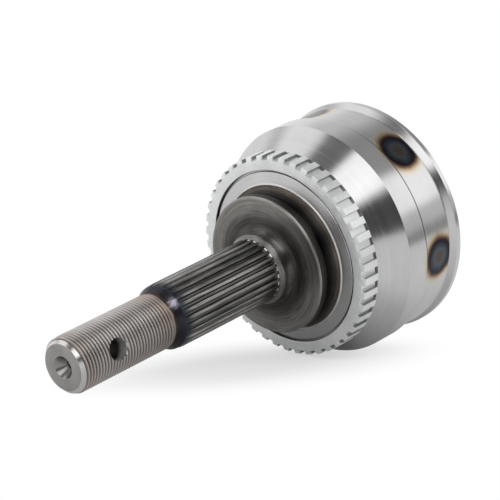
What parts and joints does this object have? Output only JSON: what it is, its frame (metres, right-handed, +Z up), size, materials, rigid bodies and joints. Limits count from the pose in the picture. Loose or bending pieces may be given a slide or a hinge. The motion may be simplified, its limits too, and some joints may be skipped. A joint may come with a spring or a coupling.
{
  "type": "constant velocity joint",
  "caption": "Outer drive shaft joint: a splined and threaded stem, a toothed speed sensor ring, and a bell whose balls let the inner race swing while it turns.",
  "frame": {"origin": "joint centre, where the axes of both shafts meet, in the middle of the inner race's splined bore", "axes": "+X along the axle out of the bell's mouth towards the half shaft, with the stem along -X; +Z up, which is the steering axis that the inner race swings about"},
  "size_m": [0.1723, 0.094, 0.094],
  "materials": {
    "turned_steel": "turned, with dark heat-treated stem",
    "zinc_plate": "matte zinc plating",
    "hardened_steel": "hardened and ground, satin",
    "ground_steel": "ground, satin",
    "spring_steel": "blackened spring steel",
    "ball_steel": "polished"
  },
  "bodies": {
    "outer_race": {"outer_race": "turned_steel", "tone_ring": "zinc_plate"},
    "inner_race": {"inner_race": "ground_steel", "circlip": "spring_steel"},
    "cage": {"cage": "hardened_steel"},
    "ball_1": {"ball_1": "ball_steel"},
    "ball_2": {"ball_2": "ball_steel"},
    "ball_3": {"ball_3": "ball_steel"},
    "ball_4": {"ball_4": "ball_steel"},
    "ball_5": {"ball_5": "ball_steel"},
    "ball_6": {"ball_6": "ball_steel"}
  },
  "joints": [
    {"name": "race_swing", "type": "hinge", "parent": "outer_race", "child": "inner_race", "pos_m": [0, 0, 0], "axis": [0, 0, 1], "range_deg": [-45, 45]},
    {"name": "cage_swing", "type": "hinge", "parent": "outer_race", "child": "cage", "pos_m": [0, 0, 0], "axis": [0, 0, 1], "range_deg": [-22.6, 22.6]},
    {"name": "ball_1_roll", "type": "hinge", "parent": "outer_race", "child": "ball_1", "pos_m": [0.0035, 0, 0], "axis": [0, 0, -1], "range_deg": [-22.6, 22.6]},
    {"name": "ball_2_roll", "type": "hinge", "parent": "outer_race", "child": "ball_2", "pos_m": [0.0035, 0, 0], "axis": [0, 0.866, -0.5], "range_deg": [-11.7, 11.7]},
    {"name": "ball_3_roll", "type": "hinge", "parent": "outer_race", "child": "ball_3", "pos_m": [0.0035, 0, 0], "axis": [0, 0.866, 0.5], "range_deg": [-11.7, 11.7]},
    {"name": "ball_4_roll", "type": "hinge", "parent": "outer_race", "child": "ball_4", "pos_m": [0.0035, 0, 0], "axis": [0, 0, 1], "range_deg": [-22.6, 22.6]},
    {"name": "ball_5_roll", "type": "hinge", "parent": "outer_race", "child": "ball_5", "pos_m": [0.0035, 0, 0], "axis": [0, -0.866, 0.5], "range_deg": [-11.7, 11.7]},
    {"name": "ball_6_roll", "type": "hinge", "parent": "outer_race", "child": "ball_6", "pos_m": [0.0035, 0, 0], "axis": [0, -0.866, -0.5], "range_deg": [-11.7, 11.7]}
  ],
  "couplings": [
    {"joint": "cage_swing", "follows": "race_swing", "ratio": 0.5},
    {"joint": "ball_1_roll", "follows": "race_swing", "ratio": -0.5},
    {"joint": "ball_2_roll", "follows": "race_swing", "ratio": -0.259},
    {"joint": "ball_3_roll", "follows": "race_swing", "ratio": 0.259},
    {"joint": "ball_4_roll", "follows": "race_swing", "ratio": 0.5},
    {"joint": "ball_5_roll", "follows": "race_swing", "ratio": 0.259},
    {"joint": "ball_6_roll", "follows": "race_swing", "ratio": -0.259}
  ]
}
